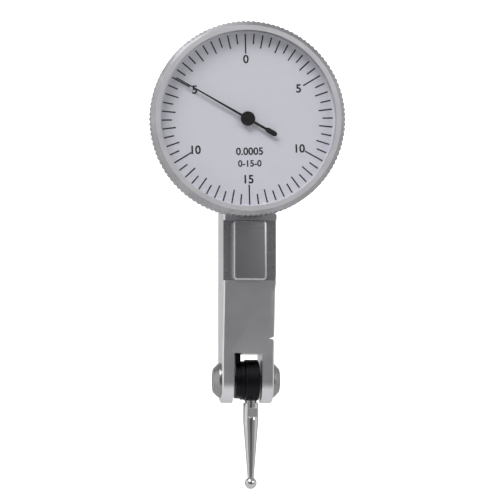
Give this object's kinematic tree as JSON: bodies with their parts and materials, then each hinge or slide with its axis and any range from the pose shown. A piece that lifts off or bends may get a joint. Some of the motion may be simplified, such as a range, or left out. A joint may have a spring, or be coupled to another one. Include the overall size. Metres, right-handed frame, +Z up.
{
  "type": "dial test indicator",
  "caption": "Lever-type dial test indicator: round dial on a slim bar with dovetails, and a ball-ended stylus that swivels in the fork below it.",
  "frame": {"origin": "middle of the clamping face of the back dovetail, on the bar's centre plane", "axes": "+Z up along the bar towards the end dovetail, +Y out of the bar's back, -Y towards the reader of the dial, +X to the reader's right"},
  "size_m": [0.032, 0.0157, 0.0771],
  "materials": {
    "satin_chrome": "satin chrome plate",
    "bezel_metal": "satin",
    "crystal": "clear",
    "dial": "matt white print ground",
    "black_steel": "black oxide",
    "steel": "turned",
    "polished_steel": "polished",
    "brass": "milled",
    "jewel": "polished synthetic ruby"
  },
  "bodies": {
    "root": {"body_frame": "satin_chrome", "side_cover": "satin_chrome", "side_cover_screws": "satin_chrome", "dial_case": "satin_chrome", "case_screws": "steel", "bezel_spring_ring": "steel", "pivot_cap_left": "satin_chrome", "pivot_cap_right": "satin_chrome", "pointer_bridge": "brass", "bridge_screws": "steel", "pointer_jewels": "jewel", "crown_jewels": "jewel", "sector_jewels": "jewel", "hairspring": "steel", "hairspring_stud": "brass"},
    "bezel": {"bezel": "bezel_metal", "crystal": "crystal", "crystal_ring": "bezel_metal", "dial_plate": "dial"},
    "pointer": {"pointer": "black_steel", "pointer_hub": "black_steel", "pointer_arbor": "steel", "hairspring_collet": "brass"},
    "crown": {"crown_gear": "brass", "crown_arbor": "steel"},
    "sector": {"sector_gear": "brass", "sector_arbor": "steel"},
    "lever": {"drive_lever": "black_steel", "drive_pin": "jewel", "lever_axle": "steel", "clutch_washer": "black_steel", "spring_washer": "steel"},
    "stylus": {"stylus_hub": "black_steel", "contact_stylus": "polished_steel", "contact_ball": "polished_steel"}
  },
  "joints": [
    {"name": "bezel_turn", "type": "hinge", "parent": "root", "child": "bezel", "pos_m": [-0.00066, -0.0136, 0.01], "axis": [0, 1, 0], "continuous": true},
    {"name": "pointer_spin", "type": "hinge", "parent": "root", "child": "pointer", "pos_m": [-0.00066, -0.0136, 0.01], "axis": [0, 1, 0], "range_deg": [-180, 180], "stiffness_Nm_per_rad": 0.00001},
    {"name": "crown_spin", "type": "hinge", "parent": "root", "child": "crown", "pos_m": [0, -0.00545, 0.01], "axis": [1, 0, 0], "range_deg": [-46, 46]},
    {"name": "sector_swing", "type": "hinge", "parent": "root", "child": "sector", "pos_m": [0, -0.00545, -0.00168], "axis": [1, 0, 0], "range_deg": [-7.2, 7.2]},
    {"name": "lever_swing", "type": "hinge", "parent": "root", "child": "lever", "pos_m": [0, -0.00545, -0.0325], "axis": [1, 0, 0], "range_deg": [-1.3, 1.3]},
    {"name": "stylus_swivel", "type": "hinge", "parent": "lever", "child": "stylus", "pos_m": [0, -0.00545, -0.0325], "axis": [1, 0, 0], "range_deg": [-110, 110]}
  ],
  "couplings": [
    {"joint": "crown_spin", "follows": "pointer_spin", "ratio": 0.25},
    {"joint": "sector_swing", "follows": "pointer_spin", "ratio": -0.039683},
    {"joint": "lever_swing", "follows": "pointer_spin", "ratio": 0.0071763}
  ]
}
